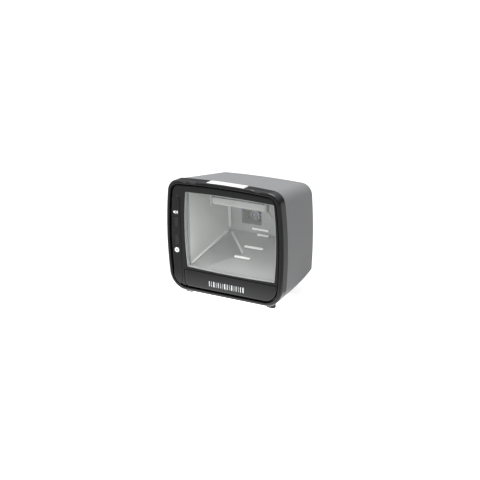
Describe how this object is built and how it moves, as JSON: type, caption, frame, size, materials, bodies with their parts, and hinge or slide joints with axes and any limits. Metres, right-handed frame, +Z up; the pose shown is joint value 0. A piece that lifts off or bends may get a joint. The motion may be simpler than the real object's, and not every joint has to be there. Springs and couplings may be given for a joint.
{
  "type": "presentation barcode scanner",
  "caption": "Upright on-counter barcode scanner: rounded gloss black front with a large window onto mirrors, two oval buttons, a status light bar and a tapering grey housing.",
  "frame": {"origin": "on the table under the middle of the scanner's bounding box", "axes": "+X to the scanner's left as it looks out, which is the viewer's right; +Y from the window to the rear; +Z up"},
  "size_m": [0.152, 0.097, 0.1375],
  "materials": {
    "brass": "turned brass",
    "button_black": "satin black",
    "circuit_board": "green solder mask",
    "clear_frame": "clear acrylic edge, light grey",
    "component_black": "matt black",
    "dark_foam": "matt foam",
    "dark_mirror": "part-coated mirror",
    "diffuser_white": "white diffusing plastic",
    "flex_brown": "polyimide flat cable",
    "gloss_black": "high-gloss moulded black",
    "gold_contact": "gold-plated",
    "grey_plastic": "fine matt texture, mid grey",
    "grey_plastic_dark": "fine matt texture, dark grey",
    "lens_glass": "coated lens",
    "lens_metal": "anodised aluminium",
    "light_bar_white": "milky translucent white",
    "mirror": "front-silvered mirror, slightly greenish",
    "pale_plastic": "satin pale grey",
    "print_white": "printed white",
    "rubber": "matt black rubber",
    "sensor_dark": "image sensor under glass",
    "silicone": "translucent silicone",
    "steel": "plated steel",
    "window_glass": "clear polished glass"
  },
  "bodies": {
    "root": {"auxiliary_port": "component_black", "back_mirror": "mirror", "base_plate": "grey_plastic_dark", "base_screws": "steel", "bezel_clips": "grey_plastic_dark", "bezel_screws": "steel", "board_chips": "component_black", "button_board": "circuit_board", "camera_board": "circuit_board", "camera_hood": "component_black", "camera_lens": "lens_glass", "capacitors": "lens_metal", "chin_cover": "gloss_black", "chin_mark": "print_white", "connector_board": "circuit_board", "corner_ribs": "pale_plastic", "floor_mirror": "dark_mirror", "floor_reflector": "pale_plastic", "front_bezel": "gloss_black", "front_feet": "rubber", "front_panel": "gloss_black", "housing_screws": "steel", "image_sensor": "sensor_dark", "interface_port": "component_black", "led_diffusers": "diffuser_white", "led_strip_boards": "circuit_board", "left_mirror": "mirror", "lens_barrel": "lens_metal", "lens_holder": "component_black", "light_bar": "light_bar_white", "light_bar_board": "circuit_board", "main_board": "circuit_board", "mode_return_dome": "silicone", "optical_chassis": "pale_plastic", "port_contacts": "gold_contact", "port_tray": "grey_plastic_dark", "power_jack": "component_black", "power_jack_pin": "steel", "rear_feet": "rubber", "rear_housing": "grey_plastic", "ribbon_cable": "flex_brown", "right_mirror": "mirror", "ring_icon": "print_white", "scan_window": "window_glass", "speaker": "component_black", "speaker_icon": "print_white", "stand_foot": "grey_plastic_dark", "tact_switches": "component_black", "threaded_inserts": "brass", "top_bar_brackets": "pale_plastic", "top_light_bar": "diffuser_white", "top_mirror": "mirror", "volume_return_dome": "silicone", "window_frame": "clear_frame", "window_gasket": "dark_foam"},
    "volume_button": {"volume_button": "button_black", "volume_button_plunger": "button_black"},
    "mode_button": {"mode_button": "button_black", "mode_button_plunger": "button_black"}
  },
  "joints": [
    {"name": "volume_button_press", "type": "slide", "parent": "root", "child": "volume_button", "axis": [0, 1, 0], "range_m": [0, 0.0008], "stiffness_N_per_m": 1500, "springref_m": -0.0003, "deforming": ["volume_return_dome"]},
    {"name": "mode_button_press", "type": "slide", "parent": "root", "child": "mode_button", "axis": [0, 1, 0], "range_m": [0, 0.0008], "stiffness_N_per_m": 1500, "springref_m": -0.0003, "deforming": ["mode_return_dome"]}
  ]
}
